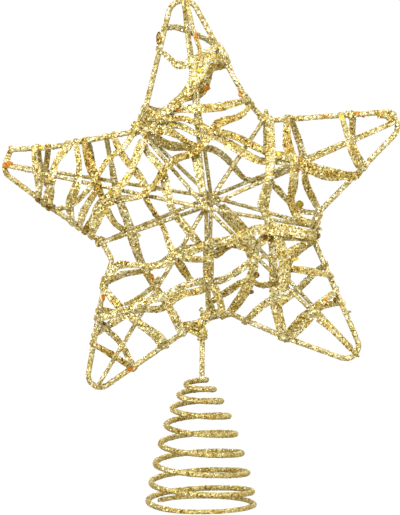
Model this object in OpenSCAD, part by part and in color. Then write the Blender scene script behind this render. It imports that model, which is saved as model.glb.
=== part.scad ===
// Tree topper star: a five-point wire cage, wound with flat strips of vine, on a cone-shaped wire spring.
// The star stands in the XZ plane and faces -Y. The origin is the centre of the spring's foot ring,
// on the plane that it rests on, and +Z is up.

/* [Star frame] */
// Distance from the star's centre to the end of its longest arm
tip_reach = 105.6; // [70:0.1:140]
// Height of the star's centre above the foot
star_height = 155; // [140:1:200]
// How far the star's centre lies to the right of the foot's centre
star_shift = 3.8; // [0:0.1:6]
// Diameter of the outline wire
rim_d = 2.7; // [2.2:0.1:3.2]
// Diameter of the ribs
rib_d = 1.9; // [1.5:0.1:2.2]
// Depth of the middle rib of each hub, in front of and behind the outline
hub_depth = 22; // [16:0.5:30]

/* [Post and spring] */
// Diameter of the wire of the post and the spring
post_d = 2.6; // [2.2:0.1:3]
// Radius at which the post turns into the spring
post_bend = 2.6; // [2:0.1:3]
// Height of the spring's first turn above its foot
spring_h = 64.2; // [55:0.1:80]
// Radius of the spring's first turn
spring_top_r = 4.2; // [4:0.1:6]
// Radius of the spring's foot ring
spring_foot_r = 27; // [24:0.1:34]
// How far the spring's first turn leans to the left of its foot
spring_lean = 1.5; // [0:0.1:3]
// How far the spring's free end is tucked inside the foot ring
foot_tuck = 2.7; // [2.4:0.1:4]
// Depth of the flat on the underside of the foot ring
foot_flat = 0.5; // [0.3:0.1:0.8]

/* [Vine strips] */
// Thickness of a strip
strip_t = 0.8; // [0.6:0.1:1]
// Width of a narrow strip
strip_narrow = 2.6; // [1.8:0.1:2.9]
// Width of a common strip
strip_common = 3.1; // [2.4:0.1:3.5]
// Width of a broad strip
strip_broad = 4.2; // [3.2:0.1:4.6]
// Clearance between wires and strips that lie on each other
lay_gap = 0.15; // [0.1:0.05:0.25]
// Step from one level of crossing strips to the next
level_step = 1.7; // [1.55:0.05:1.9]

/* [Hidden] */

rim_r = rim_d / 2;
rib_r = rib_d / 2;
post_r = post_d / 2;
gold = [0.80, 0.66, 0.36];
pale_gold = [0.88, 0.77, 0.50];
vine_gold = [0.70, 0.54, 0.26];

// The photograph's frame: the star's centre and the end of its longest arm, in pixels,
// and the angles from which the picture was taken.
centre_px = [208.5, 204];
tip_pixels = 208;
view_turn = 3.6;
view_rise = 7;
px = tip_reach / tip_pixels;

// The place, from the star's centre, of a pixel whose point lies at depth y
function place(p, y = 0) =
    let(u = (p.x - centre_px.x) * px, v = (centre_px.y - p.y) * px,
        x = (u - y * sin(view_turn)) / cos(view_turn))
    [x, (v + x * sin(view_turn) * sin(view_rise) - y * cos(view_turn) * sin(view_rise)) / cos(view_rise)];

// Corners of the outline's centre line, clockwise from the left of the top arm, each with its bend radius
rim_px = [[178, -25, 15], [246, 100, 30], [265, 121, 8], [418.5, 110.3, 14], [319, 212, 10], [312, 236, 10],
    [369.5, 368, 13], [284, 337, 40], [229, 313, 12], [200, 321, 20], [83, 402, 12], [103.5, 287, 30],
    [112, 260, 10], [102, 242, 6], [50, 207, 60], [1.8, 171, 12], [11, 149.5, 4], [50, 147.5, 60],
    [138, 131, 8], [147, 103, 40]];
// Where the ribs end on the outline: the five arms and, clockwise after each, the five notches
tip_px = [[184, 3], [393, 123], [355, 352], [98, 385.5], [6, 165]];
notch_px = [[263, 121], [314, 226], [208, 319], [103, 242], [140, 130]];
hub_px = [208.75, 202.25];
// Each rib's place in the stack of its hub, counted from the inside
front_order = [2, 0, 3, 1, 4];
back_order = [1, 4, 2, 0, 3];

hub = place(hub_px);
tips = [for (p = tip_px) place(p)];
notches = [for (p = notch_px) place(p)];
// Ribs cross each other at a slope, so that their levels need more than their diameter
rib_pitch = rib_d / cos(atan(hub_depth / norm(notches[0] - hub))) + lay_gap / 2;
rib_lap = (rim_r + rib_r + lay_gap) / cos(atan(hub_depth / norm(notches[0] - hub)));
hub_top = hub_depth + 2 * rib_pitch;

// How far a point lies towards the hub: nothing on the outline and one at the hub.
// The outline is taken straight between its corners, and at an arm from where the rib ends.
arm_corners = [0, 3, 6, 10, 15, 16];
arm_ends = [0, 1, 2, 3, 4, 4];
around = [for (i = [0 : len(rim_px) - 1])
    let(arm = search(i, arm_corners))
    if (i != arm_corners[5]) len(arm) > 0 ? tips[arm_ends[arm[0]]] : place([rim_px[i][0], rim_px[i][1]])];
function hub_share(p) =
    let(n = len(around), q = p - hub, found = [for (i = [0 : n - 1])
        let(a = around[i] - hub, b = around[(i + 1) % n] - hub, whole = a.x * b.y - a.y * b.x,
            to_a = (q.x * b.y - q.y * b.x) / whole, to_b = (a.x * q.y - a.y * q.x) / whole)
        if (to_a >= 0 && to_b >= 0) 1 - to_a - to_b])
    max(0, found[0]);

// Depth of a strip's centre line on the ribs: down on the outline at its ends, over every rib between
lift_share = 0.04;
function strip_depth(p) =
    let(share = hub_share(p))
    rim_r + lay_gap + strip_t / 2 + share * (hub_top - rib_lap)
    + min(1, share / lift_share) * (rib_lap + rib_r + 2 * lay_gap - rim_r);

// The way that the strips' faces look there, from how the depth changes around it
function strip_out(p, side) =
    let(h = strip_broad)
    [(strip_depth(p - [h, 0]) - strip_depth(p + [h, 0])) / (2 * h), side,
     (strip_depth(p - [0, h]) - strip_depth(p + [0, h])) / (2 * h)];

// A smooth line through points, with a number of steps between each two
function smooth_at(a, b, c, d, t) =
    ((2 * b) + (c - a) * t + (2 * a - 5 * b + 4 * c - d) * t * t + (3 * b - a - 3 * c + d) * t * t * t) / 2;
function smooth(p, steps) =
    let(last = len(p) - 1)
    [for (i = [0 : last - 1], s = [0 : steps - 1])
        smooth_at(p[max(0, i - 1)], p[i], p[i + 1], p[min(last, i + 2)], s / steps), p[last]];

// The vine strips, as seen in the photograph: a width and the points that the strip passes
steps = 3;
front_strips = [
    // top arm
    [[strip_common, [[158, 49.5], [167, 56], [180, 66], [197, 59.5], [217, 46.5]]],
     [strip_broad, [[227, 60], [210, 58], [197, 67], [191.5, 87], [175, 104.5], [158, 115], [144, 118]]],
     [strip_common, [[146, 109], [162, 117], [178, 110], [200, 109.5], [222, 108.5], [247, 100]]],
     [strip_narrow, [[156, 121], [172, 118], [190, 120], [213, 132]]],
     [strip_narrow, [[188, 5], [195, 34], [200, 50], [201, 68]]]],
    // centre
    [[strip_common, [[141.5, 125], [160, 125], [180, 126], [196, 134], [216, 138], [233, 147], [258, 161],
         [278, 162], [297, 162]]],
     [strip_broad, [[250, 106], [240, 116], [220, 123], [215, 131], [236, 137], [268, 153], [290, 158],
         [310, 168], [335, 173], [358, 175]]],
     [strip_common, [[142, 132], [158, 129], [180, 137], [194, 152], [199, 174], [203, 194]]],
     [strip_common, [[141, 139], [148, 153], [162, 170], [167, 191], [173, 210], [185, 226], [199, 243],
         [210, 252]]],
     [strip_common, [[214, 131], [196, 151], [176, 158.5], [163, 172], [155, 184], [144, 193]]],
     [strip_common, [[213, 257], [227, 245], [244, 239], [254, 246]]],
     [strip_broad, [[209, 240], [209, 260], [209, 283]]]],
    // left arm
    [[strip_narrow, [[35, 149], [34.5, 158], [38.5, 178], [38, 188], [39, 200]]],
     [strip_common, [[68, 146], [56, 163], [52, 180], [48, 198], [47, 206]]],
     [strip_common, [[76, 144.5], [79.5, 165], [77, 185], [70, 204], [72, 220]]],
     [strip_broad, [[84, 141.5], [91, 166], [100, 190], [102, 200], [97, 212], [86, 230]]],
     [strip_narrow, [[133, 134], [124, 147], [109, 159], [99, 174], [88, 190], [74, 203], [57, 209]]],
     [strip_broad, [[144, 138], [136, 159], [128, 177], [115, 193], [101, 208], [92, 234]]],
     [strip_common, [[114, 137], [124, 157], [137, 173], [145, 186], [147, 200], [162, 224], [171, 248],
         [184, 270], [193, 283]]],
     [strip_common, [[102, 206], [120, 199], [140, 196], [150, 190], [158, 189]]]],
    // lower left arm
    [[strip_common, [[107, 280], [119, 264], [140, 264], [163, 263], [192, 250], [212, 242], [233, 238],
         [256, 229], [270, 229], [284, 229], [316, 234]]],
     [strip_narrow, [[170, 251], [190, 257], [216, 257]]],
     [strip_common, [[103, 287], [120, 307], [138, 322], [156, 335], [164, 345]]],
     [strip_common, [[98, 318], [120, 311], [142, 301.5], [164, 296], [181, 287], [199, 281], [220, 280],
         [243, 267], [256, 256]]],
     [strip_narrow, [[93, 344], [111, 354], [131, 367]]]],
    // lower right arm
    [[strip_common, [[206, 305], [228, 291], [246, 280], [262, 285], [280, 281]]],
     [strip_common, [[214, 283], [221, 301], [223, 315]]],
     [strip_broad, [[256, 246], [270, 236], [298, 236], [315, 238]]],
     [strip_common, [[286, 268], [309, 271], [330, 275]]],
     [strip_common, [[337, 290], [320, 303], [303, 318], [284, 336]]]],
    // right arm
    [[strip_common, [[270, 121], [271, 150], [268, 178], [261, 203], [266, 214], [278, 236], [285, 270],
         [280, 292], [262, 305], [246, 320]]],
     [strip_broad, [[287, 120], [287.5, 144], [294, 163], [293, 188], [291, 200], [299, 218], [313, 222]]],
     [strip_common, [[341, 115], [347, 136], [352, 155], [361, 168]]]]];
back_strips = [
    // top arm
    [[strip_narrow, [[164, 28], [180, 28.5], [197, 35.5], [218, 46]]],
     [strip_common, [[229, 66], [211, 68], [206, 80], [199, 93], [178, 100], [164, 112], [146, 108]]]],
    // centre
    [[strip_common, [[143, 122], [156, 137], [172, 146], [208, 148], [226, 158], [244, 178], [262, 180],
         [282, 172], [302, 167], [325, 179], [354, 177]]],
     [strip_broad, [[219, 206], [240, 228], [252, 243], [255, 262], [246, 290], [229, 314]]]],
    // left arm
    [[strip_common, [[48, 148], [45, 168], [39, 186], [38, 199]]],
     [strip_narrow, [[38, 149], [41, 172], [50, 190], [48, 206]]],
     [strip_common, [[88, 141], [93, 170], [96, 188], [84, 210], [79, 226]]],
     [strip_common, [[106, 138], [110, 160], [117, 193], [129, 226], [140, 261], [157, 290], [169, 308],
         [182, 332]]],
     [strip_common, [[98, 199], [104, 205], [115, 224], [136, 237]]]],
    // lower left arm
    [[strip_narrow, [[104, 284], [122, 275], [142, 271.5], [162, 262], [178, 250], [203, 247]]],
     [strip_common, [[99, 310], [123, 314.5], [142, 310], [161, 309], [180, 296], [198, 291.5], [214, 285]]],
     [strip_narrow, [[95.5, 334], [114, 322], [137, 308]]],
     [strip_narrow, [[97.5, 319], [107, 331], [119, 343], [132, 366]]]],
    // lower right arm
    [[strip_common, [[325, 265], [312, 276], [298, 290], [278, 305]]],
     [strip_common, [[341, 303], [320, 308], [306, 322], [289, 339]]],
     [strip_narrow, [[314, 241], [296, 255], [280, 276]]]],
    // right arm
    [[strip_broad, [[266, 120], [267, 148], [271, 172], [266, 210], [272, 243], [274, 283], [276, 306],
         [283, 336]]],
     [strip_common, [[291, 120], [304, 160], [306, 184], [319, 211]]],
     [strip_narrow, [[268, 179], [281.5, 194.5], [297, 210.5], [317, 214]]],
     [strip_narrow, [[352, 114], [353, 143], [361, 161], [365, 166]]]]];

// A strip's centre line in space, on level 0. Its pixels are read again once their depth is known.
// It bridges a rib from the deepest place beside each of its points, and comes down on the outline.
function strip_line(strip, side) =
    let(fine = [for (p = smooth(strip[1], 2 * steps)) place(p, side * strip_depth(place(p)))],
        depth = [for (p = fine) strip_depth(p)], last = len(fine) - 1)
    [for (i = [0 : 2 : last])
        let(lands = (i == 0 || i == last) && hub_share(fine[i]) < lift_share,
            near = lands ? [i] : [max(0, i - 1), i, min(last, i + 1)])
        [fine[i].x, side * max([for (k = near) depth[k]]), fine[i].y]];

// Each strip lies on the lowest level that no earlier strip near it holds
function to_segment(p, a, b) =
    let(d = b - a) norm(p - a - d * max(0, min(1, (p - a) * d / (d * d))));
function beside(a, b, reach) =
    len([for (p = a, i = [1 : len(b) - 1]) if (to_segment(p, b[i - 1], b[i]) < reach) 1]) > 0;
function flat_line(line) = [for (p = line) [p.x, p.z]];
function levels(lines, widths, found = []) =
    let(i = len(found))
    i == len(lines) ? found :
    let(taken = [for (j = [0 : 1 : i - 1])
            let(reach = (widths[i] + widths[j]) / 2 + lay_gap)
            if (beside(lines[i], lines[j], reach) || beside(lines[j], lines[i], reach)) found[j]],
        free = [for (k = [0 : len(taken)]) if (len([for (t = taken) if (t == k) 1]) == 0) k])
    levels(lines, widths, concat(found, free[0]));

// A closed tube or band: a ring of corners, given across and outwards, at each point of a line.
// A loop's last ring meets its first.
function ring_at(line, i, section, out, loop) =
    let(n = len(line), before = loop ? line[(i + n - 1) % n] : line[max(0, i - 1)],
        after = loop ? line[(i + 1) % n] : line[min(n - 1, i + 1)], ahead = after - before,
        across = cross(ahead, out) / norm(cross(ahead, out)), up = cross(across, ahead) / norm(ahead))
    [for (c = section) line[i] + across * c.x + up * c.y];
module sweep(line, section, outs, loop = false) {
    n = len(section);
    rings = len(line);
    points = [for (i = [0 : rings - 1]) each ring_at(line, i, section, outs[i], loop)];
    walls = [for (i = [0 : rings - (loop ? 1 : 2)], j = [0 : n - 1])
        let(a = i * n, b = (i + 1) % rings * n, k = (j + 1) % n)
        each [[a + j, a + k, b + k], [a + j, b + k, b + j]]];
    ends = loop ? [] : [[for (j = [n - 1 : -1 : 0]) j], [for (j = [0 : n - 1]) (rings - 1) * n + j]];
    polyhedron(points, concat(walls, ends));
}

// A round wire along a line, and the line itself: straight between points, with a round bend at each
wire_sides = 10;
bend_step = 15;
module wire(line, r, out, loop = false, sides = wire_sides) {
    section = [for (k = [0 : sides - 1]) r * [cos(360 * k / sides), sin(360 * k / sides)]];
    sweep(line, section, [for (p = line) out], loop);
}
function bend(a, b, c, r) =
    let(u = (a - b) / norm(a - b), v = (c - b) / norm(c - b), half = acos(u * v) / 2, turn = 180 - 2 * half,
        middle = b + (u + v) / norm(u + v) * r / sin(half), n = ceil(turn / bend_step),
        first = b + u * r / tan(half) - middle, final = b + v * r / tan(half) - middle)
    [for (k = [0 : n]) middle + (first * sin(turn * (1 - k / n)) + final * sin(turn * k / n)) / sin(turn)];
function bent(points, r) =
    let(last = len(points) - 1)
    [points[0], for (i = [1 : 1 : last - 1]) each bend(points[i - 1], points[i], points[i + 1], r),
     points[last]];

module at_star() {
    translate([star_shift, 0, star_height]) children();
}

// The outline: straight wire between round bends, closed on itself
module rim_wire() {
    n = len(rim_px);
    corners = [for (c = rim_px) let(p = place(c)) [p.x, 0, p.y]];
    line = [for (i = [0 : n - 1])
        each bend(corners[(i + n - 1) % n], corners[i], corners[(i + 1) % n], rim_px[i][2] * px)];
    color(gold)
    at_star()
    wire(line, rim_r, [0, 1, 0], loop = true);
}

// One rib: from an arm's end over the hub, where it bends, to the notch across from it
module rib(i, side, order) {
    y = side * (hub_depth + (order[i] - 2) * rib_pitch);
    a = [tips[i].x, side * rib_lap, tips[i].y];
    b = [notches[(i + 2) % 5].x, side * rib_lap, notches[(i + 2) % 5].y];
    top = [hub.x, y, hub.y];
    color(pale_gold)
    at_star()
    wire(bent([a + (a - top) / norm(a - top) * rim_r, top, b + (b - top) / norm(b - top) * rim_r], rib_d),
        rib_r, [0, side, 0]);
}

// The spring's centre line: turns of growing radius and pitch, flat over its last stretch
spring_turns = 8.43;
grow_turns = 7.4;
foot_turns = 8;
flat_turns = 7.7;
start_turn = -30 / 360;
coil_steps = 24;
// How much of the radius grows as a sine, fast at first, and how far the height stays above an even slope
sine_share = 0.4;
bulge_share = 0.088;
upper_share = 0.0234;
function spring_r(t) = let(s = min(1, max(0, t) / grow_turns))
    spring_top_r + (spring_foot_r - spring_top_r) * (sine_share * sin(90 * s) + (1 - sine_share) * s)
    - foot_tuck * max(0, t - foot_turns) / (spring_turns - foot_turns);
function spring_z(t) = let(u = min(1, max(0, t) / flat_turns))
    post_r - foot_flat + spring_h * (1 - u + bulge_share * sin(180 * u) + upper_share * sin(360 * u));
function spring_at(t) =
    [spring_r(t) * cos(360 * t) - spring_lean * (spring_z(t) - post_r) / spring_h,
     spring_r(t) * sin(360 * t), spring_z(t)];
spring_line = [for (k = [0 : round((spring_turns - start_turn) * coil_steps)])
    spring_at(start_turn + k / coil_steps)];
// Least gap between a wire's own turns, measured from each point to the stretches over half a turn away
function own_gap(line, turn_steps, d) = min([for (i = [0 : len(line) - 1], j = [1 : len(line) - 1])
    if (min(abs(i - j), abs(i - j + 1)) > turn_steps / 2) to_segment(line[i], line[j - 1], line[j])]) - d;
echo(spring_least_gap = own_gap(spring_line, coil_steps, post_d));

module foot_spring() {
    color(gold)
    difference() {
        wire(spring_line, post_r, [0, 0, 1], sides = 6);
        translate([-2 * spring_foot_r, -2 * spring_foot_r, -post_d])
        cube([4 * spring_foot_r, 4 * spring_foot_r, post_d]);
    }
}

// The post: from the bottom notch, in front of the outline, down to an elbow that meets the spring
post_head_px = [202.7, 314];
post_angle = 360 * start_turn;
post_way = [-sin(post_angle), cos(post_angle), 0];
post_end = spring_at(start_turn) - post_way * 2 * lay_gap;
post_elbow = post_end - post_way * post_bend;
post_head = let(p = place(post_head_px, -rim_r - post_r - lay_gap))
    [star_shift + p.x, -rim_r - post_r - lay_gap, star_height + p.y];
module post_wire() {
    color(pale_gold)
    wire(bent([post_head, post_elbow, post_end], post_bend - lay_gap), post_r,
        [cos(post_angle), sin(post_angle), 0]);
}

// The binding: turns of round vine about the post, close under the outline
binding_d = 1.2;
binding_turns = 3;
binding_steps = 24;
binding_pitch = binding_d + 3 * lay_gap;
binding_drop = 3 * rim_d;
binding_line =
    let(down = (post_elbow - post_head) / norm(post_elbow - post_head),
        side = [down.z, 0, -down.x] / norm([down.z, 0, -down.x]), front = cross(down, side),
        start = post_head + down * binding_drop, reach = post_r + lay_gap + binding_d / 2)
    [for (k = [0 : binding_turns * binding_steps]) let(a = 360 * k / binding_steps)
        start + down * binding_pitch * k / binding_steps + (side * cos(a) + front * sin(a)) * reach];
echo(binding_least_gap = own_gap(binding_line, binding_steps, binding_d));
module post_binding() {
    color(vine_gold)
    wire(binding_line, binding_d / 2, post_elbow - post_head, sides = 6);
}

// One arm's strips on one side, each a flat band on its own level
module vine(lists, side, group) {
    strips = [for (list = lists) each list];
    first = len([for (k = [0 : 1 : group - 1]) each lists[k]]);
    lines = [for (s = strips) strip_line(s, side)];
    level = levels([for (l = lines) flat_line(l)], [for (s = strips) s[0]]);
    color(vine_gold)
    at_star()
    for (i = [first : first + len(lists[group]) - 1]) {
        half = strips[i][0] / 2;
        section = [[half, -strip_t / 2], [half, strip_t / 2], [-half, strip_t / 2], [-half, -strip_t / 2]];
        lift = [0, side * level[i] * level_step, 0];
        sweep([for (p = lines[i]) p + lift], section, [for (p = lines[i]) strip_out([p.x, p.z], side)]);
    }
}

rim_wire();
rib(0, -1, front_order);  // front_rib_1
rib(1, -1, front_order);  // front_rib_2
rib(2, -1, front_order);  // front_rib_3
rib(3, -1, front_order);  // front_rib_4
rib(4, -1, front_order);  // front_rib_5
rib(0, 1, back_order);  // back_rib_1
rib(1, 1, back_order);  // back_rib_2
rib(2, 1, back_order);  // back_rib_3
rib(3, 1, back_order);  // back_rib_4
rib(4, 1, back_order);  // back_rib_5
post_wire();
post_binding();
foot_spring();
vine(front_strips, -1, 0);  // front_vine_top
vine(front_strips, -1, 1);  // front_vine_centre
vine(front_strips, -1, 2);  // front_vine_left
vine(front_strips, -1, 3);  // front_vine_lower_left
vine(front_strips, -1, 4);  // front_vine_lower_right
vine(front_strips, -1, 5);  // front_vine_right
vine(back_strips, 1, 0);  // back_vine_top
vine(back_strips, 1, 1);  // back_vine_centre
vine(back_strips, 1, 2);  // back_vine_left
vine(back_strips, 1, 3);  // back_vine_lower_left
vine(back_strips, 1, 4);  // back_vine_lower_right
vine(back_strips, 1, 5);  // back_vine_right
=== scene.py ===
# %% [markdown]
# # A glittered wire star for the top of a tree
#
# The real piece is a star of thick wire with rounded arms. Thinner ribs cross over a raised hub on
# both sides, flat strips of vine are wound over them, and a cone-shaped spring under the star slips
# over the tree's top shoot. Everything is coated with coarse gold glitter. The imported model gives
# every wire and strip its place. This script dresses them: rough tubes in place of plain ones,
# twisted strips, glitter, loose sequins, light and a camera.

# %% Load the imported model
import math
import random

import bmesh
import bpy
from mathutils import Matrix, Vector, noise
from mathutils.bvhtree import BVHTree


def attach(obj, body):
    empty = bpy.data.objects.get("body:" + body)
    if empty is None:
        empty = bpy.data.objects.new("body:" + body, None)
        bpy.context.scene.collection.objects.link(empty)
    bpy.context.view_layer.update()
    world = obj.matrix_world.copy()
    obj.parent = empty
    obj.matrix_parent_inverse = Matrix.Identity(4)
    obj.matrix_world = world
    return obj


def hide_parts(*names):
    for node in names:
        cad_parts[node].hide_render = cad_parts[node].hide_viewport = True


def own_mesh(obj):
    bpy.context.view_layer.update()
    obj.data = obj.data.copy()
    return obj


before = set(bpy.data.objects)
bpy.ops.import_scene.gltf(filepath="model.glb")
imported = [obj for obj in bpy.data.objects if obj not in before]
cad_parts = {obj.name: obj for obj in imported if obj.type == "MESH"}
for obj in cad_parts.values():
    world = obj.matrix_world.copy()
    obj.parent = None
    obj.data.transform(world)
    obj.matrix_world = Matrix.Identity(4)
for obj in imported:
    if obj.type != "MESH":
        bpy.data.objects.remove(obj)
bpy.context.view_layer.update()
mm = 0.001

# %% [markdown]
# ## The photograph's frame
#
# The star was photographed almost square on: the camera stood a little to the right and a little
# above. Its distance can't be read from the picture, so it is taken long enough that the front and
# the back of the star show at nearly the same scale. The same angles turn a pixel of the photograph
# into a place on the star, which is how the ribs' ends and the strips' ways were read.

# %% The camera
# The star's reach from its centre, on the star and in the photograph
centre_px, tip_pixels, tip_reach = (208.5, 204), 208, 105.6 * mm
pixel = tip_reach / tip_pixels
view_turn, view_rise = math.radians(3.6), math.radians(7)
star_centre = Vector((3.8 * mm, 0, 155 * mm))
camera_right = Vector((math.cos(view_turn), math.sin(view_turn), 0))
camera_back = Vector((math.sin(view_turn) * math.cos(view_rise),
                      -math.cos(view_turn) * math.cos(view_rise), math.sin(view_rise)))
camera_up = camera_back.cross(camera_right)
photo_width, photo_height = 400, 515
camera_distance = 4.0

camera = bpy.data.objects.new("camera", bpy.data.cameras.new("camera"))
bpy.context.scene.collection.objects.link(camera)
bpy.context.scene.camera = camera
aim = (star_centre + camera_right * (photo_width / 2 - centre_px[0]) * pixel
       - camera_up * (photo_height / 2 - centre_px[1]) * pixel)
camera.location = aim + camera_back * camera_distance
camera.rotation_euler = camera_back.to_track_quat("Z", "Y").to_euler()
camera.data.lens = camera.data.sensor_width * camera_distance / (photo_height * pixel)
camera.data.clip_end = 50
print("camera at", [round(v, 3) for v in camera.location], "lens", round(camera.data.lens, 1))

# %% [markdown]
# ## Studio
#
# The photograph has a plain white ground with no shadow, and the wires' edges are darker than their
# middles, because they mirror a darker, warmer room. So the floor and the world are white to the camera
# and dimmer and warmer to every other ray, which turns the shaded sides brown. Large soft lights on three
# sides give the wires many small highlights.

# %% Floor, world and lights
scene = bpy.context.scene
scene.view_settings.view_transform = "Standard"
room_colour, floor_colour = (0.91, 0.84, 0.66), (0.75, 0.69, 0.54)
floor_size = 20


def white_to_camera(tree, felt, socket):
    """Feeds a socket with white where the camera looks and another colour for the light on the star."""
    path = tree.nodes.new("ShaderNodeLightPath")
    colour = tree.nodes.new("ShaderNodeMix")
    colour.data_type = "RGBA"
    colour.inputs["A"].default_value = (*felt, 1)
    colour.inputs["B"].default_value = (1, 1, 1, 1)
    tree.links.new(path.outputs["Is Camera Ray"], colour.inputs["Factor"])
    tree.links.new(colour.outputs["Result"], socket)


world = bpy.data.worlds.new("studio")
world.use_nodes = True
white_to_camera(world.node_tree, room_colour, world.node_tree.nodes["Background"].inputs["Color"])
scene.world = world

floor_mesh = bpy.data.meshes.new("floor")
bm = bmesh.new()
bmesh.ops.create_grid(bm, x_segments=1, y_segments=1, size=floor_size)
bm.to_mesh(floor_mesh)
bm.free()
floor = bpy.data.objects.new("floor", floor_mesh)
scene.collection.objects.link(floor)
floor_paint = bpy.data.materials.new("floor_paint")
floor_paint.use_nodes = True
paint = floor_paint.node_tree.nodes["Principled BSDF"].inputs
paint["Base Color"].default_value = (0.02, 0.02, 0.02, 1)
paint["Roughness"].default_value = 1.0
paint["Specular IOR Level"].default_value = 0.0
paint["Emission Strength"].default_value = 1.0
white_to_camera(floor_paint.node_tree, floor_colour, paint["Emission Color"])
floor_mesh.materials.append(floor_paint)


def soft_light(name, place, size, power):
    """A square light that faces the star."""
    lamp = bpy.data.lights.new(name, "AREA")
    lamp.size, lamp.energy = size, power
    light = bpy.data.objects.new(name, lamp)
    light.location = Vector(place)
    light.rotation_euler = (light.location - star_centre).to_track_quat("Z", "Y").to_euler()
    scene.collection.objects.link(light)


soft_light("key_light", (-0.7, -1.3, 1.2), 0.7, 40)
soft_light("fill_light", (1.1, -1.0, 0.5), 0.7, 16)
soft_light("back_light", (0.3, 1.2, 1.0), 0.8, 10)

# %% [markdown]
# ## Shader maths
#
# Glitter is a pattern of numbers: which flake a point lies on, which way the flake leans, how bright
# it is. Written as Python expressions, such patterns stay readable. A small class wraps a socket
# and turns +, - and * into Math nodes, and one method adds any other node.


# %% A socket that Python's operators work on
class Wire:
    def __init__(self, finish, socket):
        self.finish, self.socket = finish, socket

    def maths(self, operation, first, second):
        return self.finish.add("ShaderNodeMath", {"operation": operation}, first, second)

    def __add__(self, other):
        return self.maths("ADD", self, other)

    def __sub__(self, other):
        return self.maths("SUBTRACT", self, other)

    def __rsub__(self, other):
        return self.maths("SUBTRACT", other, self)

    def __mul__(self, other):
        return self.maths("MULTIPLY", self, other)

    __radd__ = __add__

    def between(self, low, high):
        """Nothing below low, one above high."""
        return self.finish.add("ShaderNodeMapRange", {"clamp": True}, self, low, high)


# %% A material under construction
class Finish:
    """A material whose surface is the Principled shader."""

    def __init__(self, name, **constants):
        self.material = bpy.data.materials.new(name)
        self.material.use_nodes = True
        self.tree = self.material.node_tree
        self.surface = self.tree.nodes["Principled BSDF"]
        for socket, value in constants.items():
            self.surface.inputs[socket.replace("_", " ")].default_value = value

    def add(self, kind, settings, *values, out=0):
        """A node of one kind: its settings first, then its sockets in order, or by name in a pair."""
        node = self.tree.nodes.new(kind)
        for name, value in settings.items():
            if name == "stops":
                ramp = node.color_ramp
                ramp.interpolation = "CONSTANT"
                while len(ramp.elements) < len(value):
                    ramp.elements.new(0)
                for element, (place, colour) in zip(ramp.elements, value):
                    element.position, element.color = place, (*colour, 1)
            else:
                setattr(node, name, value)
        for k, value in enumerate(values):
            name, value = value if isinstance(value, tuple) and isinstance(value[0], str) else (k, value)
            if isinstance(value, Wire):
                self.tree.links.new(value.socket, node.inputs[name])
            else:
                node.inputs[name].default_value = value
        return Wire(self, node.outputs[out])

    def places(self):
        return self.add("ShaderNodeTexCoord", {}, out="Object")

    def cells(self, where, count):
        """One random colour for each cell of a pattern with about that many cells along a metre."""
        return self.add("ShaderNodeTexVoronoi", {"feature": "F1"}, where, ("Scale", count), out="Color")

    def channel(self, colour, name):
        return self.add("ShaderNodeSeparateColor", {}, colour, out=name)

    def cloud(self, where, scale, detail):
        """A noise that changes slowly, from 0 to 1."""
        return self.add("ShaderNodeTexNoise", {}, where, ("Scale", scale), ("Detail", detail))

    def stored(self, name):
        """A number that the mesh keeps for each of its points."""
        return self.add("ShaderNodeAttribute", {"attribute_name": name}, out="Fac")

    def colours(self, stops, value):
        """Plain colours, each from its own stop up to the next."""
        return self.add("ShaderNodeValToRGB", {"stops": stops}, value, out="Color")

    def vectors(self, operation, *values):
        return self.add("ShaderNodeVectorMath", {"operation": operation}, *values)

    def feed(self, socket, wire):
        self.tree.links.new(wire.socket, self.surface.inputs[socket])


def linear(red, green, blue):
    """A colour as a picture shows it, 0 to 255, turned into light by the usual curve for screens."""
    return tuple(((v / 255 + 0.055) / 1.055) ** 2.4 if v > 10 else v / 3295 for v in (red, green, blue))


print("a picture's middle grey as light:", [round(v, 3) for v in linear(128, 128, 128)])

# %% [markdown]
# ## Glitter
#
# Coarse glitter is a layer of small flat flakes that lie every way. Seen from a step away, each is a
# speck: a few throw the light back, most are gold, and some are nearly black because they mirror
# something dark. That light is painted into the base colour: the brightest specks are painted glints
# and the darkest painted reflections, while those between are the flakes' own gold. One Voronoi
# pattern gives each flake its own random number for brightness and its own lean. A second, finer one
# breaks the flakes' faces up. A slow noise gathers light and dark patches. Two numbers stored on the
# mesh, "tone" and "warm", make some strips darker and browner as a whole; on the back strips they
# also carry painted light that offsets their shade.

# %% The glitter finishes
# From the darkest to the brightest: painted reflections of dark things, the flakes' own gold, painted
# glints
speck_colours = [linear(*c) for c in (
    (90, 60, 2), (126, 99, 14), (155, 133, 58), (174, 161, 104), (189, 182, 137),
    (209, 206, 175), (237, 236, 219), (248, 247, 240))]
# One flake in twenty tints its speck green and one in twenty orange
odd_flakes = [(0, (0.9, 1.0, 0.6)), (0.05, (1, 1, 1)), (0.95, (1.0, 0.8, 0.45))]
dust_a_flake = 2.6
flake_weight, dust_weight, patch_weight = 0.78, 0.22, 0.5
patch_scale, warmth_scale = 160.0, 230.0
gold_from, gold_full = 0.46, 0.8
gold_takes_green, gold_takes_blue = 0.11, 0.4
flake_lean = 1.1


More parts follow.
